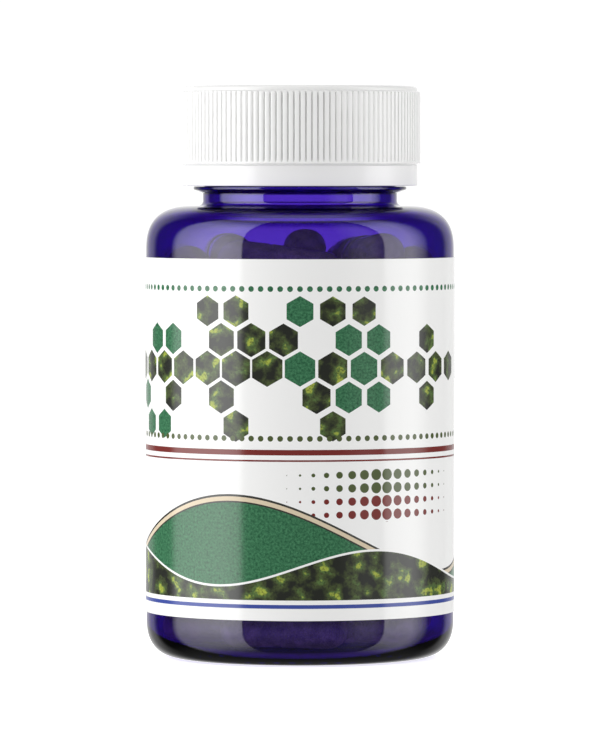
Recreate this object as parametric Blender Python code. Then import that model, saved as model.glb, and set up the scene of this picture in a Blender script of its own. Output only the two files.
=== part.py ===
"""A capsule bottle: a blow-moulded translucent bottle, its wraparound label, a push-and-turn closure
of two shells with a liner, and the capsules that fill it. Metres, +Z up, the origin at the middle of
the circle that the bottle stands on. The label's front faces -Y and its seam faces +Y."""

import math

import bmesh
import bpy
from mathutils import Matrix, Vector

MM = 0.001

# Bottle: the body, its two rounded corners and its foot
BODY_RADIUS = 28.4 * MM
WALL = 0.9 * MM
SEGMENTS = 48
FOOT_OUTER_RADIUS = 21.4 * MM
FOOT_INNER_RADIUS = 19.4 * MM
PUSH_UP = 1.2 * MM
BASE_CORNER_HEIGHT = 7.3 * MM
BASE_CORNER_POWER = 2.3
SHOULDER_START = 74.6 * MM
SHOULDER_TOP = 83.3 * MM
SHOULDER_CENTRE_RADIUS = 18.46 * MM
SHOULDER_POWER = 2.8

# Neck and its threaded finish
NECK_RADIUS = 17.9 * MM
NECK_FILLET = 0.9 * MM
BORE_RADIUS = 15.8 * MM
BORE_FLARE = 2.2 * MM
BEAD_RADIUS = 19.64 * MM
BEAD_BOTTOM = 85.6 * MM
BEAD_EDGE_BOTTOM = 86.3 * MM
BEAD_TOP = 86.85 * MM
FINISH_RADIUS = 17.6 * MM
RIM_TOP = 98.3 * MM
RIM_CHAMFER = 0.4 * MM

# Thread: right-handed, the same pitch on the neck and in the cap
THREAD_PITCH = 25.4 * MM / 6
THREAD_TURNS = 1.2
THREAD_FADE_TURNS = 0.12
THREAD_SUNK = 0.3 * MM
NECK_THREAD_CREST = 18.65 * MM
NECK_THREAD_START = 90.6 * MM
NECK_THREAD_WIDTHS = (2.0 * MM, 0.9 * MM)
CAP_THREAD_CREST = 17.95 * MM
CAP_THREAD_DROP = 1.45 * MM
CAP_THREAD_WIDTHS = (1.5 * MM, 0.7 * MM)

# Label: a band whose ends stop short of each other
LABEL_BOTTOM = 8.57 * MM
LABEL_TOP = 73.84 * MM
LABEL_THICKNESS = 0.1 * MM
LABEL_CLEARANCE = 0.05 * MM
LABEL_SEAM = 1.5 * MM
LABEL_STEPS = 72

# Inner cap, with the thread in it
INNER_CAP_BOTTOM = 88.0 * MM
INNER_CAP_TOP = 100.8 * MM
INNER_CAP_ROOF = 1.4 * MM
INNER_CAP_RADIUS = 19.95 * MM
INNER_CAP_BORE = 19.0 * MM
FLANGE_RADIUS = 20.3 * MM
FLANGE_TOP = 89.0 * MM

# Liner, pressed between the inner cap and the rim
LINER_RADIUS = 18.6 * MM
LINER_GAP = 0.05 * MM

# Outer shell, with the grip ribs
SHELL_BOTTOM = 86.97 * MM
SHELL_TOP = 105.3 * MM
SHELL_ROOF = 1.5 * MM
SHELL_RADIUS = 21.66 * MM
SHELL_BORE = 20.55 * MM
SHELL_EDGE = 0.9 * MM
CATCH_RADIUS = 20.0 * MM
CATCH_TOP = 87.8 * MM
RIBS = 126
RIB_RADIUS = 22.19 * MM
GROOVE_RADIUS = 21.74 * MM
RIB_CREST_SHARE = 0.72
RIB_BOTTOM = 91.03 * MM
RIB_TOP = 104.3 * MM
SHELL_SEGMENTS = 63

# Drive lugs: the shell's hang between the inner cap's and engage when the shell is pushed down
LUGS = 12
LUG_RADII = (9.0 * MM, 14.0 * MM)
LUG_WIDTH = 2.2 * MM
INNER_LUG_HEIGHT = 1.3 * MM
SHELL_LUG_HEIGHT = 1.4 * MM
LUG_SUNK = 0.4 * MM

# Capsules: whole layers of ten, then a loose heap on top
CAPSULE_RADIUS = 4.1 * MM
CAPSULE_LENGTH = 23.3 * MM
CAPSULE_SIDES = 8
CAPSULE_GAP = 0.05 * MM
FULL_LAYERS = 8
JOINED_LAYERS = range(2, 6)
LAYER_ROWS = (1, 2, 2, 2, 2, 1)
LAYER_TURN_DEG = 67.0
LOWEST_LAYER_TURN_DEG = -8.0
JOINED_OVERLAP = 0.12 * MM
DROP_FROM = 90.0 * MM
DROP_STEP = 0.25 * MM


def clear_scene():
    for leftover in list(bpy.data.objects):
        bpy.data.objects.remove(leftover)


def plastic(name, colour, roughness, alpha=1.0):
    """A Principled material in the colour and gloss of one of the parts."""
    made = bpy.data.materials.new(name)
    made.use_nodes = True
    shader = made.node_tree.nodes["Principled BSDF"]
    shader.inputs["Base Color"].default_value = (*colour, 1.0)
    shader.inputs["Roughness"].default_value = roughness
    shader.inputs["Metallic"].default_value = 0.0
    shader.inputs["Alpha"].default_value = alpha
    return made


def as_object(name, bm, finish):
    bmesh.ops.recalc_face_normals(bm, faces=bm.faces)
    mesh = bpy.data.meshes.new(name)
    bm.to_mesh(mesh)
    bm.free()
    mesh.materials.append(finish)
    mesh.shade_smooth()
    mesh.set_sharp_from_angle(angle=math.radians(35))
    made = bpy.data.objects.new(name, mesh)
    bpy.context.collection.objects.link(made)
    return made


def join(target, tool, operation="UNION"):
    """Unites the tool with the target, or cuts it out, and removes the tool."""
    step = target.modifiers.new(operation.title(), "BOOLEAN")
    step.operation = operation
    step.object = tool
    bpy.context.view_layer.update()
    graph = bpy.context.evaluated_depsgraph_get()
    joined = bpy.data.meshes.new_from_object(target.evaluated_get(graph))
    target.modifiers.clear()
    target.data = joined
    bpy.data.objects.remove(tool)
    return target


def turned(name, outline, finish, segments=SEGMENTS, closed=False):
    """Turns an outline of (radius, height) points about +Z. A closed outline makes a ring."""
    bm = bmesh.new()
    points = [bm.verts.new((radius, 0.0, height)) for radius, height in outline]
    edges = [bm.edges.new(pair) for pair in zip(points, points[1:], strict=False)]
    if closed:
        edges.append(bm.edges.new((points[-1], points[0])))
    bmesh.ops.spin(
        bm, geom=points + edges, axis=(0, 0, 1), angle=math.tau, steps=segments, use_merge=True
    )
    bmesh.ops.remove_doubles(bm, verts=bm.verts, dist=1e-7)
    return as_object(name, bm, finish)


def corner(centre, reach, height, power, steps, upwards=True):
    """Points of a rounded corner, from its outermost point to its top or bottom one."""
    points = []
    for step in range(steps + 1):
        angle = math.pi / 2 * step / steps
        out = reach * math.cos(angle) ** (2 / power) if step < steps else 0.0
        up = height * math.sin(angle) ** (2 / power)
        points.append((centre[0] + out, centre[1] + (up if upwards else -up)))
    return points


def arc(centre, radius, start_deg, end_deg, steps):
    points = []
    for step in range(steps + 1):
        angle = math.radians(start_deg + (end_deg - start_deg) * step / steps)
        points.append((centre[0] + radius * math.cos(angle), centre[1] + radius * math.sin(angle)))
    return points


def push_up(steps, raised):
    """Points of the shallow dome in the base, from its middle outwards."""
    points = []
    for step in range(steps):
        share = step / steps
        points.append((FOOT_INNER_RADIUS * share, raised + PUSH_UP * (1 - share**2) ** 2))
    return points


def bottle_outline():
    """The bottle's outside from the middle of the base up to the rim, then its inside back down."""
    base_centre = (FOOT_OUTER_RADIUS, BASE_CORNER_HEIGHT)
    shoulder_centre = (SHOULDER_CENTRE_RADIUS, SHOULDER_START)
    outside = push_up(3, 0.0) + [(FOOT_INNER_RADIUS, 0.0)]
    reach = BODY_RADIUS - FOOT_OUTER_RADIUS
    outside += corner(base_centre, reach, BASE_CORNER_HEIGHT, BASE_CORNER_POWER, 6, False)[::-1]
    reach = BODY_RADIUS - SHOULDER_CENTRE_RADIUS
    rise = SHOULDER_TOP - SHOULDER_START
    outside += corner(shoulder_centre, reach, rise, SHOULDER_POWER, 8)[:-1]
    fillet_centre = (NECK_RADIUS + NECK_FILLET, SHOULDER_TOP + NECK_FILLET)
    outside += arc(fillet_centre, NECK_FILLET, 270, 180, 3)
    outside += [
        (NECK_RADIUS, BEAD_BOTTOM),
        (BEAD_RADIUS, BEAD_EDGE_BOTTOM),
        (BEAD_RADIUS, BEAD_TOP),
        (FINISH_RADIUS, BEAD_TOP),
        (FINISH_RADIUS, RIM_TOP - RIM_CHAMFER),
        (FINISH_RADIUS - RIM_CHAMFER, RIM_TOP),
    ]
    inside = [(BORE_RADIUS + RIM_CHAMFER, RIM_TOP), (BORE_RADIUS, RIM_TOP - RIM_CHAMFER)]
    flare_centre = (BORE_RADIUS + BORE_FLARE, SHOULDER_TOP - WALL + BORE_FLARE)
    inside += arc(flare_centre, BORE_FLARE, 180, 270, 3)
    reach = BODY_RADIUS - WALL - SHOULDER_CENTRE_RADIUS
    inside += corner(shoulder_centre, reach, rise - WALL, SHOULDER_POWER, 5)[::-1][1:]
    reach = BODY_RADIUS - WALL - FOOT_OUTER_RADIUS
    fall = BASE_CORNER_HEIGHT - WALL
    inside += corner(base_centre, reach, fall, BASE_CORNER_POWER, 4, False)
    inside += push_up(3, WALL)[::-1]
    return outside + inside


def thread(name, root, crest, widths, start, finish):
    """A helical ridge of trapezoid section that fades out at both ends. Root and crest are radii."""
    bm = bmesh.new()
    inward = -1 if crest < root else 1
    sunk_root = root - inward * THREAD_SUNK
    steps = round(SEGMENTS * THREAD_TURNS)
    sections = []
    for step in range(steps + 1):
        turns = THREAD_TURNS * step / steps
        grown = min(1.0, turns / THREAD_FADE_TURNS, (THREAD_TURNS - turns) / THREAD_FADE_TURNS)
        tip = sunk_root + (crest - sunk_root) * max(grown, 0.3)
        height = start + THREAD_PITCH * turns
        # The half step keeps the ridge's corners off the wall's own corners.
        angle = math.tau * (turns + 0.5 / SEGMENTS)
        corners = (
            (sunk_root, -widths[0] / 2),
            (tip, -widths[1] / 2),
            (tip, widths[1] / 2),
            (sunk_root, widths[0] / 2),
        )
        section = []
        for radius, rise in corners:
            place = (radius * math.cos(angle), radius * math.sin(angle), height + rise)
            section.append(bm.verts.new(place))
        sections.append(section)
    for low, high in zip(sections, sections[1:], strict=False):
        for side in range(4):
            after = (side + 1) % 4
            bm.faces.new((low[side], low[after], high[after], high[side]))
    bm.faces.new(sections[0])
    bm.faces.new(sections[-1])
    return as_object(name, bm, finish)


def prism(name, outline, bottom, top, finish):
    """An outline of (x, y) points, extruded from one height to another."""
    bm = bmesh.new()
    face = bm.faces.new([bm.verts.new((x, y, bottom)) for x, y in outline])
    made = bmesh.ops.extrude_face_region(bm, geom=[face])
    raised = [part for part in made["geom"] if isinstance(part, bmesh.types.BMVert)]
    bmesh.ops.translate(bm, verts=raised, vec=(0, 0, top - bottom))
    return as_object(name, bm, finish)


def add_lugs(cap, bottom, top, first_turn, finish):
    """A ring of radial blocks, joined to a cap's roof."""
    for lug in range(LUGS):
        angle = math.tau * (lug + first_turn) / LUGS
        along = Vector((math.cos(angle), math.sin(angle)))
        across = Vector((-along.y, along.x)) * LUG_WIDTH / 2
        near, far = along * LUG_RADII[0], along * LUG_RADII[1]
        outline = [near - across, far - across, far + across, near + across]
        join(cap, prism("lug", outline, bottom, top, finish))


def make_bottle(finish):
    bottle = turned("bottle", bottle_outline(), finish)
    ridge = thread(
        "neck_thread", FINISH_RADIUS, NECK_THREAD_CREST, NECK_THREAD_WIDTHS, NECK_THREAD_START, finish
    )
    return join(bottle, ridge)


def make_label(finish):
    """A thin band round the body, open at the seam on the +Y side."""
    inner = BODY_RADIUS + LABEL_CLEARANCE
    outer = inner + LABEL_THICKNESS
    half_seam = LABEL_SEAM / 2 / outer
    start = math.pi / 2 + half_seam
    bm = bmesh.new()
    sections = []
    for step in range(LABEL_STEPS + 1):
        angle = start + (math.tau - 2 * half_seam) * step / LABEL_STEPS
        ends = ((inner, LABEL_BOTTOM), (outer, LABEL_BOTTOM), (outer, LABEL_TOP), (inner, LABEL_TOP))
        section = []
        for radius, height in ends:
            place = (radius * math.cos(angle), radius * math.sin(angle), height)
            section.append(bm.verts.new(place))
        sections.append(section)
    for left, right in zip(sections, sections[1:], strict=False):
        for side in range(4):
            after = (side + 1) % 4
            bm.faces.new((left[side], left[after], right[after], right[side]))
    bm.faces.new(sections[0])
    bm.faces.new(sections[-1])
    return as_object("label", bm, finish)


def make_liner(finish):
    bottom = RIM_TOP + LINER_GAP
    top = INNER_CAP_TOP - INNER_CAP_ROOF - LINER_GAP
    outline = [(0, bottom), (LINER_RADIUS, bottom), (LINER_RADIUS, top), (0, top)]
    return turned("liner", outline, finish)


def make_inner_cap(finish):
    """The threaded cap: a flange at its foot that the shell catches on, and drive lugs on its roof."""
    ceiling = INNER_CAP_TOP - INNER_CAP_ROOF
    edge = 0.8 * MM
    outline = [
        (0, INNER_CAP_TOP),
        (INNER_CAP_RADIUS - edge, INNER_CAP_TOP),
        (INNER_CAP_RADIUS, INNER_CAP_TOP - edge),
        (INNER_CAP_RADIUS, FLANGE_TOP),
        (FLANGE_RADIUS, FLANGE_TOP - 0.2 * MM),
        (FLANGE_RADIUS, INNER_CAP_BOTTOM),
        (INNER_CAP_BORE, INNER_CAP_BOTTOM),
        (INNER_CAP_BORE, ceiling),
        (0, ceiling),
    ]
    cap = turned("inner_cap", outline, finish)
    start = NECK_THREAD_START - CAP_THREAD_DROP
    join(cap, thread("cap_thread", INNER_CAP_BORE, CAP_THREAD_CREST, CAP_THREAD_WIDTHS, start, finish))
    add_lugs(cap, INNER_CAP_TOP - LUG_SUNK, INNER_CAP_TOP + INNER_LUG_HEIGHT, 0.0, finish)
    return cap


def rib_outline():
    """The grip's plan: flat-topped ribs with a narrow V groove between each two."""
    points = []
    half_crest = RIB_CREST_SHARE / 2
    for rib in range(RIBS):
        for share, radius in ((-half_crest, RIB_RADIUS), (half_crest, RIB_RADIUS), (0.5, GROOVE_RADIUS)):
            angle = math.tau * (rib + share) / RIBS
            points.append((radius * math.cos(angle), radius * math.sin(angle)))
    return points


def make_shell(finish):
    """The outer shell that the hand grips: ribs round its wall, a smooth skirt below them, a catch
    inside its lower edge that holds it on the inner cap, and drive lugs under its roof."""
    ceiling = SHELL_TOP - SHELL_ROOF
    outside = [(0, SHELL_BOTTOM), (SHELL_RADIUS, SHELL_BOTTOM), (SHELL_RADIUS, SHELL_TOP - SHELL_EDGE)]
    outside += arc((SHELL_RADIUS - SHELL_EDGE, SHELL_TOP - SHELL_EDGE), SHELL_EDGE, 0, 90, 3)[1:]
    outside += [(0, SHELL_TOP)]
    shell = turned("outer_shell", outside, finish, 2 * SHELL_SEGMENTS)
    join(shell, prism("ribs", rib_outline(), RIB_BOTTOM, RIB_TOP, finish))
    hollow = [
        (0, SHELL_BOTTOM - 1 * MM),
        (CATCH_RADIUS, SHELL_BOTTOM - 1 * MM),
        (CATCH_RADIUS, CATCH_TOP - 0.2 * MM),
        (SHELL_BORE, CATCH_TOP),
        (SHELL_BORE, ceiling),
        (0, ceiling),
    ]
    join(shell, turned("shell_hollow", hollow, finish, SHELL_SEGMENTS), "DIFFERENCE")
    add_lugs(shell, ceiling - SHELL_LUG_HEIGHT, ceiling + LUG_SUNK, 0.5, finish)
    return shell


def capsule(name, centre, direction, finish):
    """A round-ended capsule along a direction, with a corner of its section to each side."""
    half = CAPSULE_LENGTH / 2 - CAPSULE_RADIUS
    slant = CAPSULE_RADIUS * math.sqrt(0.5)
    outline = [
        (0, -half - CAPSULE_RADIUS),
        (slant, -half - slant),
        (CAPSULE_RADIUS, -half),
        (CAPSULE_RADIUS, half),
        (slant, half + slant),
        (0, half + CAPSULE_RADIUS),
    ]
    made = turned(name, outline, finish, CAPSULE_SIDES)
    made.matrix_world = Matrix.Translation(centre) @ direction.to_track_quat("Z", "Y").to_matrix().to_4x4()
    return made


def layer_places(layer, pitch_gap):
    """Ten capsules that lie in six rows. The top layer's rows run along X, each one below it is
    turned further, and the lowest has a turn of its own."""
    floor = WALL + PUSH_UP
    height = floor + 2 * CAPSULE_GAP + CAPSULE_RADIUS + layer * (2 * CAPSULE_RADIUS + CAPSULE_GAP)
    turn_deg = LAYER_TURN_DEG * (FULL_LAYERS - 1 - layer) if layer else LOWEST_LAYER_TURN_DEG
    turn = Matrix.Rotation(math.radians(turn_deg), 3, "Z")
    row_pitch = 2 * CAPSULE_RADIUS + pitch_gap
    end_pitch = CAPSULE_LENGTH + pitch_gap
    places = []
    for row, count in enumerate(LAYER_ROWS):
        across = (row - (len(LAYER_ROWS) - 1) / 2) * row_pitch
        for place in range(count):
            along = (place - (count - 1) / 2) * end_pitch
            places.append((turn @ Vector((along, across, height)), turn @ Vector((1, 0, 0))))
    return places


def apart(centre_a, along_a, centre_b, along_b, half):
    """The shortest distance between two capsules' centre lines, each 2 * half long."""
    between = centre_a - centre_b
    lean = along_a.dot(along_b)
    on_a, on_b = along_a.dot(between), along_b.dot(between)
    spread = 1 - lean * lean
    s = max(-half, min(half, (lean * on_b - on_a) / spread)) if spread > 1e-9 else 0.0
    t = max(-half, min(half, lean * s + on_b))
    s = max(-half, min(half, lean * t - on_a))
    return (between + along_a * s - along_b * t).length


def dropped(plan, direction, below):
    """Where a capsule comes to rest when it is lowered straight down on to those below it."""
    half = CAPSULE_LENGTH / 2 - CAPSULE_RADIUS
    nearest = 2 * CAPSULE_RADIUS + CAPSULE_GAP

    def is_clear(height):
        centre = Vector((plan[0], plan[1], height))
        return all(apart(centre, direction, c, d, half) > nearest for c, d in below)

    height = DROP_FROM
    while is_clear(height - DROP_STEP):
        height -= DROP_STEP
    step = DROP_STEP
    while step > 1e-6:
        step /= 2
        if is_clear(height - step):
            height -= step
    return Vector((plan[0], plan[1], height))


# The loose heap, in the order it is lowered in: (x, y, heading, tilt) in millimetres and degrees.
# A heading of 0 points along +X, and a tilt lifts the end that the heading points to.
LOOSE_HEAP = (
    (-3.4, -17.4, 7, -7),
    (-21.4, -2.9, 99, 1),
    (21.6, -2.8, 82, 1),
    (-13.1, -1.5, 95, 0),
    (12.2, -10.7, 111, -4),
    (9.1, 12.0, -97, -6),
    (0.1, 2.2, 96, -18),
)


def heap_places(below):
    """The loose capsules' places, each resting on what went in before it."""
    places = []
    for x, y, heading, tilt in LOOSE_HEAP:
        flat = math.cos(math.radians(tilt))
        bearing = math.radians(heading)
        direction = Vector((flat * math.cos(bearing), flat * math.sin(bearing), math.sin(math.radians(tilt))))
        centre = dropped((x * MM, y * MM), direction, below + places)
        places.append((centre, direction))
    return places


def make_capsules(finish):
    """Capsules of their own, numbered from the bottom. The layers in JOINED_LAYERS, in the middle of
    the fill, are one piece each, with their capsules just run into each other."""
    number = 0
    top_layer = []
    for layer in range(FULL_LAYERS):
        if layer in JOINED_LAYERS:
            places = layer_places(layer, -JOINED_OVERLAP)
            whole = capsule(f"capsule_layer_{layer + 1}", *places[0], finish)
            bpy.context.view_layer.update()
            for centre, direction in places[1:]:
                join(whole, capsule("next_capsule", centre, direction, finish))
            continue
        top_layer = layer_places(layer, CAPSULE_GAP)
        for centre, direction in top_layer:
            number += 1
            capsule(f"capsule_{number:02d}", centre, direction, finish)
    for centre, direction in heap_places(top_layer):
        number += 1
        capsule(f"capsule_{number:02d}", centre, direction, finish)


def main():
    clear_scene()
    cobalt_pet = plastic("cobalt_pet", (0.035, 0.012, 0.42), 0.08, 0.55)
    label_film = plastic("label_film", (0.86, 0.86, 0.86), 0.35)
    white_pp = plastic("white_pp", (0.87, 0.87, 0.87), 0.32)
    liner_foam = plastic("liner_foam", (0.8, 0.79, 0.75), 0.7)
    filled_capsule = plastic("filled_capsule", (0.05, 0.09, 0.045), 0.25)
    make_bottle(cobalt_pet)
    make_label(label_film)
    make_liner(liner_foam)
    make_inner_cap(white_pp)
    make_shell(white_pp)
    make_capsules(filled_capsule)


main()
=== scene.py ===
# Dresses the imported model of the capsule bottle: blue bottle, printed label, ribbed closure and fill.
import math
import random

import bmesh
import bpy
import numpy as np
from mathutils import Matrix, Vector


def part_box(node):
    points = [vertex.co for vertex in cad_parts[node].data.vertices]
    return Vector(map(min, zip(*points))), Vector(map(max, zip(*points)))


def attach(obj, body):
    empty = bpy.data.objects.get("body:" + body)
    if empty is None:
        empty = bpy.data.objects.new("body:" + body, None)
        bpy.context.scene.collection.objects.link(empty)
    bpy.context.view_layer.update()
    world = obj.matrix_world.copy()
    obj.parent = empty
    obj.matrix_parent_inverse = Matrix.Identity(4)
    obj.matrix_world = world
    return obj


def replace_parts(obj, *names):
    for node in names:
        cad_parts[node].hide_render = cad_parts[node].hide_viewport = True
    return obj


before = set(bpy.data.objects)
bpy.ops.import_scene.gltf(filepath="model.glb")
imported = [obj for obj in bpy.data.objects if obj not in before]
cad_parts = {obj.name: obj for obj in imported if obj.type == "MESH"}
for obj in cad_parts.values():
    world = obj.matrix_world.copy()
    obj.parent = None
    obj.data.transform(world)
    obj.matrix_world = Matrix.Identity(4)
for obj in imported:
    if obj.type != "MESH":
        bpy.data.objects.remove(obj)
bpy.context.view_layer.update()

mm = 0.001
fullTurn = 2 * math.pi


def linear(hexColour):
    # sRGB hex to Blender's linear colour
    shares = [int(hexColour[i:i + 2], 16) / 255 for i in (1, 3, 5)]
    return (*[s / 12.92 if s <= 0.04045 else ((s + 0.055) / 1.055) ** 2.4 for s in shares], 1.0)


def addNode(tree, kind, settings=None, feeds=None):
    # feeds holds input name or number: a node or socket to link from, or a plain value
    node = tree.nodes.new("ShaderNode" + kind)
    for name, value in (settings or {}).items():
        setattr(node, name, value)
    for name, value in (feeds or {}).items():
        if isinstance(value, bpy.types.Node):
            value = value.outputs[0]
        if isinstance(value, bpy.types.NodeSocket):
            tree.links.new(value, node.inputs[name])
        else:
            node.inputs[name].default_value = value
    return node


def blankMaterial(name):
    material = bpy.data.materials.new(name)
    material.use_nodes = True
    material.node_tree.nodes.clear()
    return material, material.node_tree, addNode(material.node_tree, "OutputMaterial")


def superCorner(centreRadius, centreHeight, reach, rise, power, steps):
    # a rounded corner from its outermost point to its top, or to its bottom where rise is negative
    points = []
    for step in range(steps + 1):
        angle = math.pi / 2 * step / steps
        out = reach * math.cos(angle) ** (2 / power) if step < steps else 0.0
        points.append((centreRadius + out, centreHeight + rise * math.sin(angle) ** (2 / power)))
    return points


def movedIn(profile, depth):
    # the same outline of (radius, height) points, moved square to itself towards its left-hand side
    moved = []
    for place, (radius, height) in enumerate(profile):
        before, after = profile[max(place - 1, 0)], profile[min(place + 1, len(profile) - 1)]
        along, up = after[0] - before[0], after[1] - before[1]
        length = math.hypot(along, up)
        moved.append((radius - depth * up / length, height + depth * along / length))
    return moved


def roundCorner(centre, radius, startDegrees, endDegrees, steps):
    points = []
    for step in range(steps + 1):
        angle = math.radians(startDegrees + (endDegrees - startDegrees) * step / steps)
        points.append((centre[0] + radius * math.cos(angle), centre[1] + radius * math.sin(angle)))
    return points


def stitched(rows, columns, first, wrap=True):
    # quads between the points of a grid whose first point has the number first
    across = columns if wrap else columns - 1
    row, column = np.meshgrid(np.arange(rows - 1), np.arange(across), indexing="ij")
    after = (column + 1) % columns
    lower, upper = first + row * columns, first + (row + 1) * columns
    corners = (lower + column, lower + after, upper + after, upper + column)
    return np.stack(corners, axis=2).reshape(-1, 4).tolist()


def turnedForm(profile, angles, shape=None):
    # Points and faces of a profile of (radius, height) in mm, turned about the axis, on which it
    # starts and ends. shape may change the radii and heights of the points between.
    grid = np.ones((len(profile) - 2, len(angles)))
    radii = np.array([point[0] for point in profile[1:-1]])[:, None] * grid
    heights = np.array([point[1] for point in profile[1:-1]])[:, None] * grid
    if shape:
        radii, heights = shape(radii, heights, angles[None, :] * grid)
    points = np.stack((radii * np.cos(angles), radii * np.sin(angles), heights), axis=2).reshape(-1, 3)
    faces = stitched(len(profile) - 2, len(angles), 0)
    start, end, last = len(points), len(points) + 1, len(points) - len(angles)
    for column in range(len(angles)):
        after = (column + 1) % len(angles)
        faces += [(start, after, column), (end, last + column, last + after)]
    poles = [(0, 0, profile[0][1]), (0, 0, profile[-1][1])]
    return np.concatenate((points, poles)) * mm, faces


def pieceFrom(name, points, faces, material, body, slot, smoothDegrees=35):
    mesh = bpy.data.meshes.new(name)
    mesh.from_pydata(np.asarray(points).tolist(), [], faces)
    mesh.validate()
    facing = bmesh.new()      # all faces look outwards
    facing.from_mesh(mesh)
    bmesh.ops.recalc_face_normals(facing, faces=facing.faces)
    facing.to_mesh(mesh)
    facing.free()
    mesh.materials.append(material)
    mesh.shade_smooth()
    mesh.set_sharp_from_angle(angle=math.radians(smoothDegrees))
    piece = bpy.data.objects.new(name, mesh)
    bpy.context.scene.collection.objects.link(piece)
    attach(piece, body)
    return piece


print("stage 1: frame loaded, helpers ready")

# The bottle. Sizes in mm, as in the CAD.
bottle = {
    "bodyRadius": 28.4, "wall": 0.9, "columns": 288, "bodyRows": 8,
    "footOuter": 21.4, "footInner": 19.4, "footEdge": 0.25, "footNotches": 48, "notchDepth": 0.12,
    "pushUp": 1.2, "heelHeight": 7.3, "heelPower": 2.5,
    "shoulderStart": 74.6, "shoulderTop": 83.3, "shoulderCentre": 18.46, "shoulderPower": 2.8,
    "neckRadius": 17.9, "neckFillet": 0.9, "boreRadius": 15.8,
    "beadRadius": 19.64, "beadBottom": 85.6, "beadEdgeBottom": 86.3, "beadTop": 86.85, "beadEdge": 0.22,
    "finishRadius": 17.6, "rimTop": 98.3, "rimEdge": 0.4,
    "threadPitch": 25.4 / 6, "threadTurns": 1.2, "threadStart": 90.6, "threadHeight": 1.05,
    "threadHalfWidth": 0.85, "threadFadeTurns": 0.1, "threadRow": 0.12, "threadPower": 2.4,
    # inside, the neck's wall is thin below the bead, and the base and heel are thick
    "neckBore": 17.0, "baseInside": 2.1, "heelInside": 1.7,
    # the gate mark in the middle of the base: a small pip with a dished ring round it
    "gateMark": ((0.0, -0.55), (0.5, -0.55), (0.75, -0.5), (0.95, -0.2), (1.1, 0.0), (1.7, 0.1),
                 (2.4, 0.06)),
    "gateMarkRadius": 3.0,
    # light that two walls let through: red, green and blue
    "throughTwoWalls": (0.068, 0.022, 0.49), "shareInside": 0.25, "ior": 1.575, "roughness": 0.03,
    # what a slanting look takes off besides, by how far the wall turns away
    "slantTint": ((0.0, (1, 1, 1)), (0.17, (1, 0.97, 0.95)), (0.3, (0.62, 0.42, 0.72)),
                  (0.42, (0.18, 0.04, 0.44)), (0.585, (0.07, 0.0, 0.33)), (0.8, (0.03, 0.0, 0.12))),
    # shares that change between two heights: lower one, upper one, share below, share above.
    # The shoulder stretches thin, and its slant counts for less. The foot is blown thickest, and its
    # colour is darkened far past that towards the floor: painted shade for the shadow it stands in.
    "shoulderSlant": ((75.5, 80.0, 1.0, 0.95), (82.6, 83.6, 0.95, 1.0)),
    "footPaintedShade": (1.6, 4.4, 0.26, 1.0),
}


def cobaltPet():
    # PET, injection stretch blow-moulded: polished glassy walls, coloured right through, so that the
    # blue deepens where light crosses more of it, at the limb, the foot and the neck bead
    share = bottle["shareInside"]
    material, tree, output = blankMaterial("cobaltPet")
    places = addNode(tree, "TexCoord")
    # blown walls are never quite even: slow swells some 9 mm apart, far shallower than they are wide
    swells = addNode(tree, "TexNoise", None,
                     {"Vector": places.outputs["Object"], "Scale": 110.0, "Detail": 1.0})
    relief = addNode(tree, "Bump", None, {"Height": swells, "Strength": 0.05, "Distance": 0.0004})
    # most of the blue sits in the skin, and deepens as the wall slants away
    split = addNode(tree, "SeparateXYZ", None, {0: places.outputs["Object"]})
    shares = []
    for lower, upper, below, above in (*bottle["shoulderSlant"], bottle["footPaintedShade"]):
        shares.append(addNode(tree, "MapRange", {"interpolation_type": "SMOOTHSTEP"}, {
            0: split.outputs[2], 1: lower * mm, 2: upper * mm, 3: below, 4: above}))
    counts = addNode(tree, "Math", {"operation": "MAXIMUM"}, {0: shares[0], 1: shares[1]})
    slant = addNode(tree, "LayerWeight", None, {"Blend": 0.5})
    turnedAway = addNode(tree, "Math", {"operation": "MULTIPLY"},
                         {0: slant.outputs["Facing"], 1: counts})
    tints = addNode(tree, "ValToRGB", None, {0: turnedAway})
    stops = tints.color_ramp.elements
    while len(stops) < len(bottle["slantTint"]):
        stops.new(0.5)
    headOn = [through ** ((1 - share) / 2) for through in bottle["throughTwoWalls"]]
    for stop, (place, extra) in zip(stops, bottle["slantTint"]):
        stop.position = place
        stop.color = (*[h * e for h, e in zip(headOn, extra)], 1.0)
    # the foot's share is painted shade: it darkens the skin's colour towards the floor
    tinted = addNode(tree, "VectorMath", {"operation": "SCALE"}, {0: tints, "Scale": shares[2]})
    skin = addNode(tree, "BsdfPrincipled", None, {
        "Base Color": tinted, "Roughness": bottle["roughness"], "IOR": bottle["ior"],
        "Transmission Weight": 1.0, "Normal": relief})
    # light reaches the capsules straight through the wall, and the tint inside takes its share
    ray = addNode(tree, "LightPath")
    lighting = addNode(tree, "Math", {"operation": "MAXIMUM"}, {
        0: ray.outputs["Is Shadow Ray"], 1: ray.outputs["Is Diffuse Ray"]})
    clear = addNode(tree, "BsdfTransparent")
    surface = addNode(tree, "MixShader", None, {0: lighting, 1: skin, 2: clear})
    # the density is a little over the most that any colour loses, so all parts of the tint stay over 0
    taken = [-math.log(t) * share / (2 * bottle["wall"] * mm) for t in bottle["throughTwoWalls"]]
    density = max(taken) * 1.05
    tint = addNode(tree, "VolumeAbsorption", None, {
        "Color": (*[1 - t / density for t in taken], 1.0), "Density": density})
    tree.links.new(surface.outputs[0], output.inputs["Surface"])
    tree.links.new(tint.outputs[0], output.inputs["Volume"])
    return material


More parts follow.
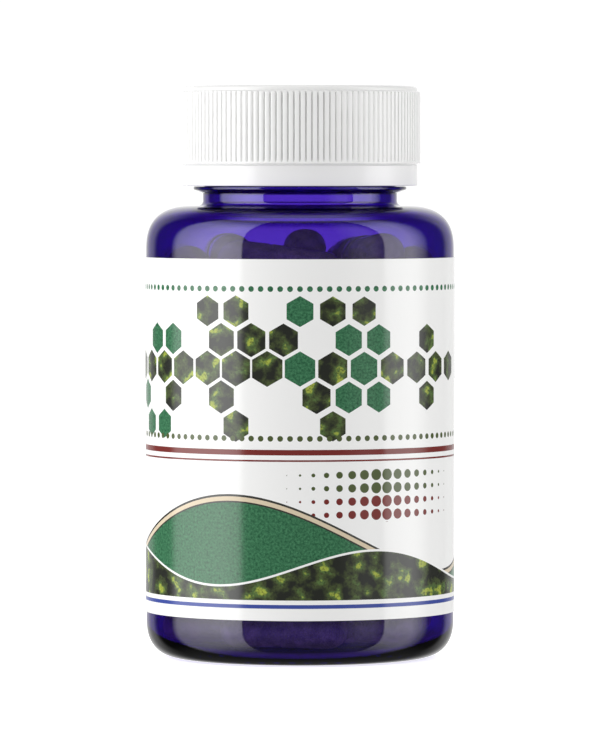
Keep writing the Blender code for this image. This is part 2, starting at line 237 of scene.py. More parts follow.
def bottleProfile():
    # up the outside from the middle of the base to the rim, and down the inside again
    b = bottle
    domeSteps, floorSteps = 24, 16
    rowHeight = (b["shoulderStart"] - b["heelHeight"]) / b["bodyRows"]
    fillet = (b["neckRadius"] + b["neckFillet"], b["shoulderTop"] + b["neckFillet"])
    shoulder = superCorner(b["shoulderCentre"], b["shoulderStart"],
                           b["bodyRadius"] - b["shoulderCentre"],
                           b["shoulderTop"] - b["shoulderStart"], b["shoulderPower"], 40)

    # the dome of the base, the foot and the heel
    outside = [(radius, b["pushUp"] + rise) for radius, rise in b["gateMark"]]
    dome = [(b["footInner"] * share, b["pushUp"] * (1 - share ** 2) ** 2)
            for share in (step / domeSteps for step in range(domeSteps))]
    outside += [point for point in dome if point[0] > b["gateMarkRadius"]]
    outside += [(b["footInner"], 0.0), (b["footInner"] + b["footEdge"], 0.0),
                (b["footOuter"] - b["footEdge"], 0.0)]
    outside += superCorner(b["footOuter"], b["heelHeight"], b["bodyRadius"] - b["footOuter"],
                           -b["heelHeight"], b["heelPower"], 28)[::-1]
    outside += [(b["bodyRadius"], b["heelHeight"] + rowHeight * row)
                for row in range(1, b["bodyRows"])]
    outside += shoulder[:-1] + roundCorner(fillet, b["neckFillet"], 270, 180, 10)

    # the neck, its bead, and the finish that carries the thread
    edge, rim = b["beadEdge"], b["rimEdge"]
    outside += [(b["neckRadius"], b["beadBottom"] - drop) for drop in (1.3, 0.8, 0.3, 0.1)]
    outside += [(b["neckRadius"] + 0.03, b["beadBottom"] + 0.02),
                (b["neckRadius"] + 0.2, b["beadBottom"] + 0.12)]
    outside += roundCorner((b["beadRadius"] - edge, b["beadEdgeBottom"] + edge * 0.6), edge, 290, 360, 4)
    outside += roundCorner((b["beadRadius"] - edge, b["beadTop"] - edge), edge, 0, 90, 5)
    outside += [(b["finishRadius"] + out, b["beadTop"] + up)
                for out, up in ((0.4, 0.0), (0.1, 0.1), (0.0, 0.4))]
    threadFoot = b["beadTop"] + 0.6
    threadRows = int((b["rimTop"] - 0.5 - threadFoot) / b["threadRow"])
    outside += [(b["finishRadius"], threadFoot + b["threadRow"] * row) for row in range(threadRows)]
    outside += roundCorner((b["finishRadius"] - rim, b["rimTop"] - rim), rim, 0, 90, 5)

    # inside, below the bead the neck's wall is as thin as the body's
    inside = roundCorner((b["boreRadius"] + rim, b["rimTop"] - rim), rim, 90, 180, 5)
    inside += [(b["boreRadius"], b["rimTop"] - 4.0), (b["boreRadius"], b["beadTop"] + 2.2),
               (b["neckBore"], b["beadTop"] + 0.6), (b["neckBore"], b["beadTop"] + 0.3),
               (b["neckBore"], b["beadBottom"]), (b["neckBore"], b["beadBottom"] - 1.2)]
    inside += roundCorner(fillet, b["neckFillet"] + b["wall"], 180, 270, 12)
    inside += [point for point in movedIn(shoulder, b["wall"])[::-1] if point[0] > fillet[0] + 0.1]
    inside += [(b["bodyRadius"] - b["wall"], b["shoulderStart"] - rowHeight * row)
               for row in range(1, b["bodyRows"])]
    inside += superCorner(b["footOuter"], b["heelHeight"], b["bodyRadius"] - b["wall"] - b["footOuter"],
                          b["heelInside"] - b["heelHeight"], b["heelPower"], 20)
    sag = b["baseInside"] - b["heelInside"]
    inside += [(b["footOuter"] * share, b["baseInside"] - sag * share ** 2)
               for share in (step / floorSteps for step in range(floorSteps - 1, -1, -1))]
    return outside + inside


def moulding(radii, heights, angles):
    # adds the thread and the notches of the foot to the turned form
    b = bottle
    grown = np.zeros_like(radii)
    onFinish = (np.abs(radii - b["finishRadius"]) < 0.01) & (heights > b["beadTop"] + 0.5)
    for turn in (-1, 0, 1):
        along = angles / fullTurn + turn
        inRange = (along > 0) & (along < b["threadTurns"])
        fade = np.clip(np.minimum(along, b["threadTurns"] - along) / b["threadFadeTurns"], 0, 1)
        away = np.abs(heights - b["threadStart"] - b["threadPitch"] * along) / b["threadHalfWidth"]
        ridge = np.clip(1 - away ** b["threadPower"], 0, 1) * b["threadHeight"]
        ridge *= np.sin(fade * math.pi / 2)
        grown = np.maximum(grown, np.where(inRange & onFinish, ridge, 0))
    edge = b["footEdge"] / 2
    foot = (heights < 0.01) & (radii > b["footInner"] + edge) & (radii < b["footOuter"] - edge)
    notches = b["notchDepth"] * (np.cos(angles * b["footNotches"]) < 0)
    return radii + grown, heights + np.where(foot, notches, 0)


angles = np.arange(bottle["columns"]) * fullTurn / bottle["columns"]
cobaltWalls = pieceFrom("cobaltBottle", *turnedForm(bottleProfile(), angles, moulding), cobaltPet(),
                        "filled_bottle", "cobalt_pet")
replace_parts(cobaltWalls, "bottle")
print("stage 2: bottle blown")

# The label: a printed film wrapped round the body. Sizes in mm from its lower edge and its middle.
label = {
    "innerRadius": 28.46, "outerRadius": 28.545, "bottom": 8.57, "top": 73.84, "seam": 1.5,
    "columns": 360, "rows": 12, "roughness": 0.15, "gloss": 0.5,
    "mapScale": 200.0,      # the sheet's map holds real lengths, at so many mm to one
    "paper": "#f3f3f2", "powderGreen": "#4c8a62", "powderShade": "#1d4a33", "olive": "#4f5b36",
    "night": "#2a2c27", "leaf": "#56703f", "leafLight": "#a3b048", "brick": "#762f2c",
    "blue": "#3f4f9a", "rim": "#3a3936", "cream": "#d9c9ae",
    # leaf mottle: between which strengths of the noise each shade comes in
    "leafShades": ((0.42, 0.56, "olive"), (0.54, 0.6, "leaf"), (0.6, 0.65, "leafLight")),
    # honeycomb: cells round the label, the height of its middle, how far it reaches up and down, how
    # far left of the middle it is densest, and how it thins out upwards and sideways, for each mm
    "cellsRound": 30, "combHeight": 45.5, "combReach": 11.0, "combShift": 9.0,
    "thinUpwards": 0.035, "thinSideways": 0.011,
    # two grids of dots: how many round the label, and how far apart upwards
    "dotGrid": (100, 1.8), "dotRadius": 0.52, "halftoneGrid": (75, 2.4), "halftoneShift": -16.0,
    "halftoneRadius": 1.1, "halftoneShrink": 0.055,
    # level bands: height, half the width, pattern and ink
    "bands": ((59.9, 0.9, "dots", "powder"), (33.0, 0.9, "dots", "olive"),
              (30.4, 0.5, "solid", "brick"), (28.9, 0.16, "solid", "brick"),
              (24.9, 2.4, "halftone", "olive"), (20.1, 2.4, "halftone", "brick")),
    # rolling hills round the foot, from the back one on: height, swing, waves round, phase and ink
    "hills": ((15.6, 7.2, 2, 2.48, "rim"), (15.2, 7.2, 2, 2.48, "cream"),
              (14.4, 7.2, 2, 2.48, "rim"), (14.1, 7.2, 2, 2.48, "powder"),
              (9.6, 3.2, 3, 0.1, "paper"), (9.2, 3.2, 3, 0.1, "foliage"),
              (3.7, 0.0, 1, 0.0, "paper"), (2.9, 0.0, 1, 0.0, "blue"), (2.2, 0.0, 1, 0.0, "paper")),
}


def printedFilm():
    # white polypropylene film, flexo-printed and varnished: even satin, with softly blurred reflections
    material, tree, output = blankMaterial("printedFilm")
    circumference = fullTurn * label["outerRadius"]
    sheet = addNode(tree, "UVMap", {"uv_map": "labelSheet"})
    lengths = addNode(tree, "VectorMath", {"operation": "SCALE"},
                      {0: sheet, "Scale": label["mapScale"]})
    split = addNode(tree, "SeparateXYZ", None, {0: lengths})
    across, up = split.outputs[0], split.outputs[1]

    # powder and leaf mottle: grains near 0.5 mm, clumps near 3 mm
    grain = addNode(tree, "TexNoise", None,
                    {"Vector": lengths, "Scale": 2.2, "Detail": 3.0, "Roughness": 0.7})
    clump = addNode(tree, "TexNoise", None, {"Vector": lengths, "Scale": 0.33, "Detail": 3.0})
    inks = {name: linear(label[name]) for name in ("paper", "olive", "brick", "blue", "rim", "cream")}
    share = addNode(tree, "MapRange", None, {0: grain, 1: 0.3, 2: 0.72})
    inks["powder"] = addNode(tree, "Mix", {"data_type": "RGBA"}, {
        0: share, 6: linear(label["powderShade"]), 7: linear(label["powderGreen"])}).outputs[2]
    foliage = linear(label["night"])
    for start, end, ink in label["leafShades"]:
        share = addNode(tree, "MapRange", None, {0: clump, 1: start, 2: end})
        foliage = addNode(tree, "Mix", {"data_type": "RGBA"},
                          {0: share, 6: foliage, 7: linear(label[ink])}).outputs[2]
    share = addNode(tree, "MapRange", None, {0: grain, 1: 0.5, 2: 0.62, 4: 0.6})
    inks["foliage"] = addNode(tree, "Mix", {"data_type": "RGBA"},
                              {0: share, 6: foliage, 7: linear(label["night"])}).outputs[2]

    # a honeycomb is two grids of oblongs, each point going to the nearer middle
    pitch, tallness = circumference / label["cellsRound"], math.sqrt(3)
    cell = (pitch, pitch * tallness, 1.0)
    over = addNode(tree, "Math", {"operation": "SUBTRACT"}, {0: up, 1: label["combHeight"]})
    flat = addNode(tree, "CombineXYZ", None, {0: across, 1: over})
    candidates = []
    for shift in (0.0, 0.5):
        moved = addNode(tree, "VectorMath", {"operation": "SUBTRACT"},
                        {0: flat, 1: (cell[0] * shift, cell[1] * shift, 0.0)})
        shifted = addNode(tree, "VectorMath", {"operation": "ADD"},
                          {0: moved, 1: (cell[0] / 2, cell[1] / 2, 0.5)})
        snapped = addNode(tree, "VectorMath", {"operation": "SNAP"}, {0: shifted, 1: cell})
        local = addNode(tree, "VectorMath", {"operation": "SUBTRACT"}, {0: moved, 1: snapped})
        length = addNode(tree, "VectorMath", {"operation": "LENGTH"}, {0: local})
        candidates.append((local, length.outputs["Value"]))
    (firstLocal, firstLength), (secondLocal, secondLength) = candidates
    nearer = addNode(tree, "Math", {"operation": "LESS_THAN"}, {0: secondLength, 1: firstLength})
    fromMiddle = addNode(tree, "Mix", {"data_type": "VECTOR"},
                         {0: nearer, 4: firstLocal, 5: secondLocal}).outputs[1]
    middle = addNode(tree, "VectorMath", {"operation": "SUBTRACT"}, {0: flat, 1: fromMiddle})
    # how far a point lies from its cell's middle, square to the cell's nearest side
    unsigned = addNode(tree, "VectorMath", {"operation": "ABSOLUTE"}, {0: fromMiddle})
    parts = addNode(tree, "SeparateXYZ", None, {0: unsigned})
    half = addNode(tree, "Math", {"operation": "MULTIPLY"}, {0: parts.outputs[0], 1: 0.5})
    slant = addNode(tree, "Math", {"operation": "MULTIPLY_ADD"},
                    {0: parts.outputs[1], 1: tallness / 2, 2: half})
    edge = addNode(tree, "Math", {"operation": "MAXIMUM"}, {0: slant, 1: parts.outputs[0]})
    # whole numbers name each cell, so that its draw is the same all over it
    shifted = addNode(tree, "VectorMath", {"operation": "ADD"}, {0: middle, 1: (0.5, 0.5, 0.0)})
    named = addNode(tree, "VectorMath", {"operation": "SNAP"}, {0: shifted, 1: (1.0, 1.0, 1.0)})
    draw = addNode(tree, "TexWhiteNoise", {"noise_dimensions": "2D"}, {"Vector": named})
    drawn = draw.outputs["Value"]
    # both patterns come twice round, so the far side has its own
    cellMiddle = addNode(tree, "SeparateXYZ", None, {0: middle})
    quarter = circumference / 4
    sideways = []
    for place, shift in ((cellMiddle.outputs[0], label["combShift"]), (across, label["halftoneShift"])):
        moved = addNode(tree, "Math", {"operation": "ADD"}, {0: place, 1: shift})
        wrapped = addNode(tree, "Math", {"operation": "WRAP"}, {0: moved, 1: quarter, 2: -quarter})
        sideways.append(addNode(tree, "Math", {"operation": "ABSOLUTE"}, {0: wrapped}))
    # cells shrink and drop out, the farther from the middle of the pattern
    upwards = addNode(tree, "Math", {"operation": "ABSOLUTE"}, {0: cellMiddle.outputs[1]})
    sparse = addNode(tree, "Math", {"operation": "MULTIPLY"},
                     {0: sideways[0], 1: label["thinSideways"]})
    sparse = addNode(tree, "Math", {"operation": "MULTIPLY_ADD"},
                     {0: upwards, 1: label["thinUpwards"], 2: sparse})
    limit = addNode(tree, "Math", {"operation": "MULTIPLY_ADD"}, {0: drawn, 1: 0.85, 2: 0.12})
    size = addNode(tree, "Math", {"operation": "MULTIPLY_ADD"}, {0: sparse, 1: -0.9, 2: pitch * 0.475})
    tile = addNode(tree, "Math", {"operation": "LESS_THAN"}, {0: edge, 1: size})
    for value, most in ((sparse, limit), (upwards, label["combReach"])):
        kept = addNode(tree, "Math", {"operation": "LESS_THAN"}, {0: value, 1: most})
        tile = addNode(tree, "Math", {"operation": "MULTIPLY"}, {0: tile, 1: kept})
    fifth = addNode(tree, "Math", {"operation": "GREATER_THAN"}, {0: drawn, 1: 0.8})
    green = addNode(tree, "Math", {"operation": "MULTIPLY"}, {0: tile, 1: fifth})
    printed = [(tile, "foliage"), (green, "powder")]      # where it covers, and its ink, in turn

    # dots: an even grid, and a halftone that shrinks outwards
    shrunk = addNode(tree, "Math", {"operation": "MULTIPLY_ADD"},
                     {0: sideways[1], 1: -label["halftoneShrink"], 2: label["halftoneRadius"]})
    patterns = {"solid": 1.0}
    for name, (dotsRound, apart), radius in (("dots", label["dotGrid"], label["dotRadius"]),
                                             ("halftone", label["halftoneGrid"], shrunk)):
        shifted = addNode(tree, "VectorMath", {"operation": "ADD"},
                          {0: flat, 1: (apart / 2, apart / 2, 0.5)})
        snapped = addNode(tree, "VectorMath", {"operation": "SNAP"},
                          {0: shifted, 1: (circumference / dotsRound, apart, 1.0)})
        fromDot = addNode(tree, "VectorMath", {"operation": "SUBTRACT"}, {0: flat, 1: snapped})
        length = addNode(tree, "VectorMath", {"operation": "LENGTH"}, {0: fromDot})
        patterns[name] = addNode(tree, "Math", {"operation": "LESS_THAN"},
                                 {0: length.outputs["Value"], 1: radius})
    for height, halfWidth, pattern, ink in label["bands"]:
        above = addNode(tree, "Math", {"operation": "SUBTRACT"}, {0: up, 1: height})
        away = addNode(tree, "Math", {"operation": "ABSOLUTE"}, {0: above})
        band = addNode(tree, "Math", {"operation": "LESS_THAN"}, {0: away, 1: halfWidth})
        printed.append((addNode(tree, "Math", {"operation": "MULTIPLY"},
                                {0: band, 1: patterns[pattern]}), ink))
    for base, swing, waves, phase, ink in label["hills"]:
        bearing = addNode(tree, "Math", {"operation": "MULTIPLY_ADD"},
                          {0: across, 1: waves * fullTurn / circumference, 2: phase})
        wave = addNode(tree, "Math", {"operation": "SINE"}, {0: bearing})
        crest = addNode(tree, "Math", {"operation": "MULTIPLY_ADD"}, {0: wave, 1: swing, 2: base})
        printed.append((addNode(tree, "Math", {"operation": "LESS_THAN"}, {0: up, 1: crest}), ink))

    colour = inks["paper"]
    for share, ink in printed:
        colour = addNode(tree, "Mix", {"data_type": "RGBA"},
                         {0: share, 6: colour, 7: inks[ink]}).outputs[2]
    film = addNode(tree, "BsdfPrincipled", None, {
        "Base Color": colour, "Roughness": label["roughness"], "Specular IOR Level": label["gloss"]})
    tree.links.new(film.outputs[0], output.inputs["Surface"])
    return material


def wrappedLabel():
    # the band starts and ends at the seam on the far side, and its map runs from the front's middle
    halfGap = label["seam"] / 2 / label["outerRadius"]
    spread = np.linspace(-math.pi + halfGap, math.pi - halfGap, label["columns"])
    heights = np.linspace(label["bottom"], label["top"], label["rows"])
    points, faces, sheetPlaces = [], [], []
    for radius, flip in ((label["outerRadius"], False), (label["innerRadius"], True)):
        grid = stitched(len(heights), len(spread), len(points), wrap=False)
        faces += [face[::-1] for face in grid] if flip else grid
        for height in heights:
            for angle in spread:
                points.append((radius * math.sin(angle) * mm, -radius * math.cos(angle) * mm,
                               height * mm))
                sheetPlaces.append((angle * label["outerRadius"] / label["mapScale"],
                                    (height - label["bottom"]) / label["mapScale"]))
    # the rim joins the two faces of the film
    half, columns, rows = len(points) // 2, len(spread), len(heights)
    rim = list(range(columns)) + [row * columns + columns - 1 for row in range(1, rows)]
    rim += [(rows - 1) * columns + column for column in range(columns - 2, -1, -1)]
    rim += [row * columns for row in range(rows - 2, 0, -1)]
    for here, there in zip(rim, rim[1:] + rim[:1]):
        faces.append((there, here, here + half, there + half))
    piece = pieceFrom("printedLabel", points, faces, printedFilm(), "filled_bottle", "label_film")
    sheetMap = piece.data.uv_layers.new(name="labelSheet")
    for loop in piece.data.loops:
        sheetMap.data[loop.index].uv = sheetPlaces[loop.vertex_index]
    return piece


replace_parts(wrappedLabel(), "label")
print("stage 3: label wrapped")

# The closure. Sizes in mm, as in the CAD.
closure = {
    "bottom": 86.97, "top": 105.3, "skirtRadius": 21.66, "wallInside": 20.55, "ceiling": 103.8,
    "catchRadius": 20.0, "catchTop": 87.8, "edge": 0.9, "skirtEdge": 0.25, "catchEdge": 0.2,
    # on top, a gate mark in the middle and a fine ring round the edge
    "gateRadii": (0.9, 1.25), "gateDepth": 0.12, "ringRadii": (17.2, 17.45, 17.8, 18.05),
    "ringDepth": 0.14,
    "ribs": 126, "ribRadius": 22.19, "grooveRadius": 21.68, "ribBottom": 91.03, "ribTop": 104.3,
    "grooveShare": 0.38, "columnsPerRib": 12, "ribCrown": 0.05, "crownShare": 0.33,
    "bandEdge": 0.28, "bandRing": 0.1, "partingDepth": 0.16,
    "lugs": 12, "lugRadii": (9.0, 14.0), "lugWidth": 2.2, "lugHeight": 1.4, "lugSunk": 0.3,
    "white": "#f5f5f4", "roughness": 0.2, "roughnessDrift": 0.03, "ior": 1.49,
}


def mouldedPolypropylene():
    # polypropylene, injection-moulded from a finely eroded tool: white, satin, a little see-into
    material, tree, output = blankMaterial("whitePolypropylene")
    places = addNode(tree, "TexCoord")
    # spark erosion leaves pits near 0.05 mm: drawn at 0.3 mm, so that they show at all
    pits = addNode(tree, "TexNoise", None,
                   {"Vector": places.outputs["Object"], "Scale": 3300.0, "Detail": 1.0})
    relief = addNode(tree, "Bump", None, {"Height": pits, "Strength": 0.06, "Distance": 0.00005})
    # resin flows unevenly, so the gloss drifts over centimetres
    drift = addNode(tree, "TexNoise", None,
                    {"Vector": places.outputs["Object"], "Scale": 90.0, "Detail": 2.0})
    gloss = addNode(tree, "MapRange", None, {
        0: drift, 3: closure["roughness"] - closure["roughnessDrift"],
        4: closure["roughness"] + closure["roughnessDrift"]})
    resin = addNode(tree, "BsdfPrincipled", None, {
        "Base Color": linear(closure["white"]), "Roughness": gloss, "IOR": closure["ior"],
        "Normal": relief})
    tree.links.new(resin.outputs[0], output.inputs["Surface"])
    return material


def shellProfile():
    # down the outside from the middle of the top, and up the inside to the middle of the ceiling
    c = closure
    top, skirt, edge, ribBottom = c["top"], c["skirtRadius"], c["edge"], c["ribBottom"]
    gateInner, gateOuter = c["gateRadii"]
    outside = [(0.0, top - c["gateDepth"]), (gateInner, top - c["gateDepth"]), (gateOuter, top)]
    outside += [(6.0, top), (12.0, top)]
    outside += list(zip(c["ringRadii"], (top, top - c["ringDepth"], top - c["ringDepth"], top)))
    outside += [(19.5, top)] + roundCorner((skirt - edge, top - edge), edge, 90, 0, 8)
    # ribbed band: its rows stand close where the grooves run out, at both ends
    drops = (0.0, 0.12, 0.3, 0.5, 0.8, *(1.2 + step for step in range(11)))
    outside += [(c["ribRadius"], c["ribTop"] - drop) for drop in drops]
    outside += [(c["ribRadius"], ribBottom + rise) for rise in (1.5, 1.1, 0.8, 0.6, 0.45, 0.3, 0.15, 0.0)]
    # a fine groove parts the ribbed band from the plain skirt
    parting = skirt - c["partingDepth"]
    outside += [(skirt + 0.06, ribBottom - 0.02), (parting, ribBottom - 0.1),
                (parting, ribBottom - 0.2), (skirt, ribBottom - 0.36), (skirt, c["bottom"] + 2.0)]
    edge = c["skirtEdge"]
    outside += roundCorner((skirt - edge, c["bottom"] + edge), edge, 0, -90, 5)
    edge = c["catchEdge"]
    inside = roundCorner((c["catchRadius"] + edge, c["bottom"] + edge), edge, 270, 180, 4)
    inside += [(c["catchRadius"], c["catchTop"] - 0.2), (c["wallInside"], c["catchTop"]),
               (c["wallInside"], c["ceiling"] - 0.3), (c["wallInside"] - 0.3, c["ceiling"])]
    return outside + inside + [(10.0, c["ceiling"]), (0.0, c["ceiling"])]


def ribbing(radii, heights, angles):
    # cuts the grooves between the ribs into the turned band
    c = closure
    onBand = np.abs(radii - c["ribRadius"]) < 0.001
    place = (angles * c["ribs"] / fullTurn) % 1.0      # a rib's middle at 0, a groove's at 0.5
    fromGroove = np.abs(place - 0.5) / (c["grooveShare"] / 2)
    groove = np.clip(np.cos(np.clip(fromGroove, 0, 1) * math.pi) * 0.5 + 0.5, 0, 1)
    fromCrest = np.abs((place + 0.5) % 1.0 - 0.5) / c["crownShare"]
    crown = c["ribCrown"] * np.clip(1 - fromCrest ** 2, -1, 1)
    # how far the groove has opened at each height: it slopes out over its ends
    opened = np.clip((heights - c["ribBottom"] - 0.3) / 0.45, 0, 1)
    opened *= np.clip((c["ribTop"] - 0.12 - heights) / 0.4, 0, 1)
    depth = c["ribRadius"] - c["grooveRadius"]
    rounded = np.where(heights > c["ribTop"] - 0.01, c["bandEdge"], 0)
    # the ring that closes the grooves below stands a little proud, and its upper side catches light
    ringRise = c["bandRing"] * np.clip((c["ribBottom"] + 0.4 - heights) / 0.25, 0, 1)
    shaped = radii - c["ribCrown"] + (crown - groove * depth) * opened - rounded + ringRise
    return np.where(onBand, shaped, radii), heights


whitePlastic = mouldedPolypropylene()
columns = closure["ribs"] * closure["columnsPerRib"]
angles = np.arange(columns) * fullTurn / columns
shell = pieceFrom("ribbedShell", *turnedForm(shellProfile(), angles, ribbing), whitePlastic,
                  "grip_shell", "white_pp")
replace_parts(shell, "outer_shell")
shell.visible_glossy = False    # so that the glossy shoulder stays evenly dark under it


def driveLugs():
    # the shell's blocks, which drop between the inner cap's when it is pushed down
    points, faces = [], []
    inner, outer = closure["lugRadii"]
    bottom, top = closure["ceiling"] - closure["lugHeight"], closure["ceiling"] + closure["lugSunk"]
    for lug in range(closure["lugs"]):
        turn = Matrix.Rotation(fullTurn * (lug + 0.5) / closure["lugs"], 3, "Z")
        first = len(points)
        for height in (bottom, top):
            for x, y in ((inner, -1), (outer, -1), (outer, 1), (inner, 1)):
                corner = turn @ Vector((x, y * closure["lugWidth"] / 2, height)) * mm
                points.append(tuple(corner))
        for face in ((3, 2, 1, 0), (4, 5, 6, 7), (0, 1, 5, 4), (1, 2, 6, 5), (2, 3, 7, 6), (3, 0, 4, 7)):
            faces.append([first + corner for corner in face])
    return pieceFrom("driveLugs", points, faces, whitePlastic, "grip_shell", "white_pp")


driveLugs()


def foamedPolyethylene():
    # polyethylene foam, skived to a sheet and stamped: matt, with cells near 0.3 mm
    material, tree, output = blankMaterial("foamedPolyethylene")
    places = addNode(tree, "TexCoord")
    cells = addNode(tree, "TexVoronoi", None, {"Vector": places.outputs["Object"], "Scale": 3300.0})
    relief = addNode(tree, "Bump", None, {
        "Height": cells.outputs["Distance"], "Strength": 0.4, "Distance": 0.0001})
    foam = addNode(tree, "BsdfPrincipled", None, {
        "Base Color": linear("#e6e4de"), "Roughness": 0.75, "Normal": relief})
    tree.links.new(foam.outputs[0], output.inputs["Surface"])
    return material


def dressNode(name, material):
    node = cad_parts[name]
    node.data.materials.clear()
    node.data.materials.append(material)


dressNode("inner_cap", whitePlastic)
dressNode("liner", foamedPolyethylene())
print("stage 4: closure moulded")

# The capsules: a cap pushed over a body, size 00, in mm.
capsules = {
    "length": 23.3, "bodyRadius": 3.92, "capRadius": 4.1, "capLength": 11.9, "lockFromEdge": 2.6,
    "lockDepth": 0.13, "lockHalfWidth": 0.35, "sides": 32, "hiddenSides": 12,
    # how they lie in a layer of the heap
    "rowPitch": 8.08, "endPitch": 23.18, "rows": (1, 2, 2, 2, 2, 1), "layerTurn": 67.0, "layers": 8,
    "powder": "#6e8a4b", "powderDark": "#455e2e", "powderPale": "#93a86a",
}


def filledShell():
    # clear hypromellose shell, dip-moulded and glossy, over packed dark green powder
    material, tree, output = blankMaterial("filledShell")
    places = addNode(tree, "TexCoord")
    # milled powder near 0.2 mm, with clumps of a millimetre or two
    grain = addNode(tree, "TexNoise", None, {
        "Vector": places.outputs["Object"], "Scale": 4200.0, "Detail": 2.0, "Roughness": 0.7})
    clump = addNode(tree, "TexNoise", None,
                    {"Vector": places.outputs["Object"], "Scale": 480.0, "Detail": 2.0})
    mixed = addNode(tree, "Mix", None, {0: 0.5, 2: grain, 3: clump})
    shade = addNode(tree, "ValToRGB", None, {0: mixed})
    darkest, palest = shade.color_ramp.elements
    darkest.position, palest.position = 0.36, 0.66
    darkest.color, palest.color = linear(capsules["powderDark"]), linear(capsules["powderPale"])
    shade.color_ramp.elements.new(0.5).color = linear(capsules["powder"])
    skin = addNode(tree, "BsdfPrincipled", None, {
        "Base Color": shade, "Roughness": 0.55, "Coat Weight": 1.0, "Coat Roughness": 0.06,
        "Coat IOR": 1.48})
    tree.links.new(skin.outputs[0], output.inputs["Surface"])
    return material


def capsuleProfile(fine):
    # from the body's end to the cap's, along the capsule, its middle at 0
    c = capsules
    half, bodyRadius, capRadius = c["length"] / 2, c["bodyRadius"], c["capRadius"]
    steps = 9 if fine else 4
    body = roundCorner((0.0, -half + bodyRadius), bodyRadius, -90, 0, steps)
    lip = half - c["capLength"]
    cap = roundCorner((0.0, half - capRadius), capRadius, 0, 90, steps)
    if not fine:
        return body + [(bodyRadius, lip), (capRadius, lip)] + cap
    # the cap's edge is rounded, and a shallow groove locks it to the body
    lock, halfWidth = lip + c["lockFromEdge"], c["lockHalfWidth"]
    middle = [(bodyRadius, -3.0), (bodyRadius, lip - 0.02), (capRadius - 0.06, lip),
              (capRadius, lip + 0.07), (capRadius, lock - halfWidth)]
    middle += [(capRadius - c["lockDepth"] * share, lock + along)
               for share, along in ((0.5, -0.2), (1.0, 0.0), (0.5, 0.2))]
    return body + middle + [(capRadius, lock + halfWidth)] + cap


def capsulePlaces(node):
    # the middle and direction of each capsule that a CAD node holds, read from its solid
    lowest, highest = (Vector(corner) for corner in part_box(node))
    centre = (lowest + highest) / 2
    if "layer" not in node:
        vertices = [vertex.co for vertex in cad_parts[node].data.vertices]
        tip = max(vertices, key=lambda place: (place - centre).length)
        return [(centre, (tip - centre).normalized())]
    layer = int(node.rsplit("_", 1)[1]) - 1
    turned = math.radians(capsules["layerTurn"] * (capsules["layers"] - 1 - layer))
    turn = Matrix.Rotation(turned, 3, "Z")
    places = []
    for row, count in enumerate(capsules["rows"]):
        for place in range(count):
            along = (place - (count - 1) / 2) * capsules["endPitch"] * mm
            across = (row - (len(capsules["rows"]) - 1) / 2) * capsules["rowPitch"] * mm
            places.append((turn @ Vector((along, across, centre.z)), turn @ Vector((1, 0, 0))))
    return places


def capsuleGroup(name, nodes, material, fine, draw):
    sides = capsules["sides"] if fine else capsules["hiddenSides"]
    capsulePoints, capsuleFaces = turnedForm(capsuleProfile(fine), np.arange(sides) * fullTurn / sides)
    points, faces = [], []
    for node in nodes:
        for middle, direction in capsulePlaces(node):
            if draw.random() < 0.5:
                direction = -direction
            spin = Matrix.Rotation(draw.uniform(0, fullTurn), 3, "Z")
            turn = np.array(direction.to_track_quat("Z", "Y").to_matrix() @ spin)
            first = len(points)
            points.extend((capsulePoints @ turn.T + np.array(middle)).tolist())
            faces.extend([[first + corner for corner in face] for face in capsuleFaces])
    piece = pieceFrom(name, points, faces, material, "filled_bottle", "filled_capsule", 50)
    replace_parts(piece, *nodes)


draw = random.Random(7)
capsuleShell = filledShell()
single = [f"capsule_{number:02d}" for number in range(1, 48)]
layered = [f"capsule_layer_{number}" for number in (3, 4, 5, 6)]
capsuleGroup("capsulesLoose", single[40:], capsuleShell, True, draw)
capsuleGroup("capsulesUpper", single[20:40], capsuleShell, True, draw)
capsuleGroup("capsulesLower", single[:20], capsuleShell, True, draw)
capsuleGroup("capsulesMiddle", layered, capsuleShell, False, draw)
print("stage 5: capsules filled in")

# The studio: a white room with a tall soft box to each side of the camera. Lengths in m.
studio = {
    "cameraDistance": 1.1754, "cameraTilt": 1.94, "aim": 0.05203, "lens": 305.6,
    "floorSize": 3.0, "floorGap": 0.00005, "floorGlow": 0.75,
    "plain": 1.05,      # what the camera sees straight on, or through the bottle
    "under": (-70.0, -30.0, 0.1),      # through the bottle's foot it sees the shade it stands in
    # strengths that shiny surfaces mirror, by degrees round from the camera, positive to the right
    "mirrored": {
        "left": ((-112, 0.0), (-105, 2.0), (-80, 3.3), (-60, 3.9), (-50, 3.5), (-44.5, 3.1),
                 (-43.5, 0.02)),
        "right": ((29, 0.02), (46, 0.55), (56, 0.55), (65, 0.06), (66.5, 2.7), (92, 2.7), (112, 0.02)),
        "behind": (134, 146, 180), "behindPower": (0.02, 0.45, 1.0),
        # by degrees above level: where it is full, where it is faintest, and how faint
        "fades": ((0.0, 30.0, 0.8), (40.0, 66.0, 0.25), (0.0, -22.0, 0.6), (-24.0, -64.0, 0.04)),
        "behindFades": ((-5.0, -41.0, 0.03), (18.0, 46.0, 0.03)),
        "ends": ((-68.0, -76.0, 0.0), (70.0, 78.0, 0.0)),
        # where it starts, where it is full, and how strong
        "ceiling": (57.0, 80.0, 0.85), "ceilingLean": 6.0, "ground": (-25.0, -50.0, 0.1),
    },
    # strengths that light matt surfaces: all round, left panel, right panel, behind, above
    "lighting": (0.71, 1.17, 0.92, 0.5, 0.3), "lightingFade": (30.0, 75.0, 0.45),
    "above": (70.0, 78.0),
    "panels": ((44.5, 140.0), (65.5, 111.0), (134.0, 226.0)), "panelEdge": 1.0,
}


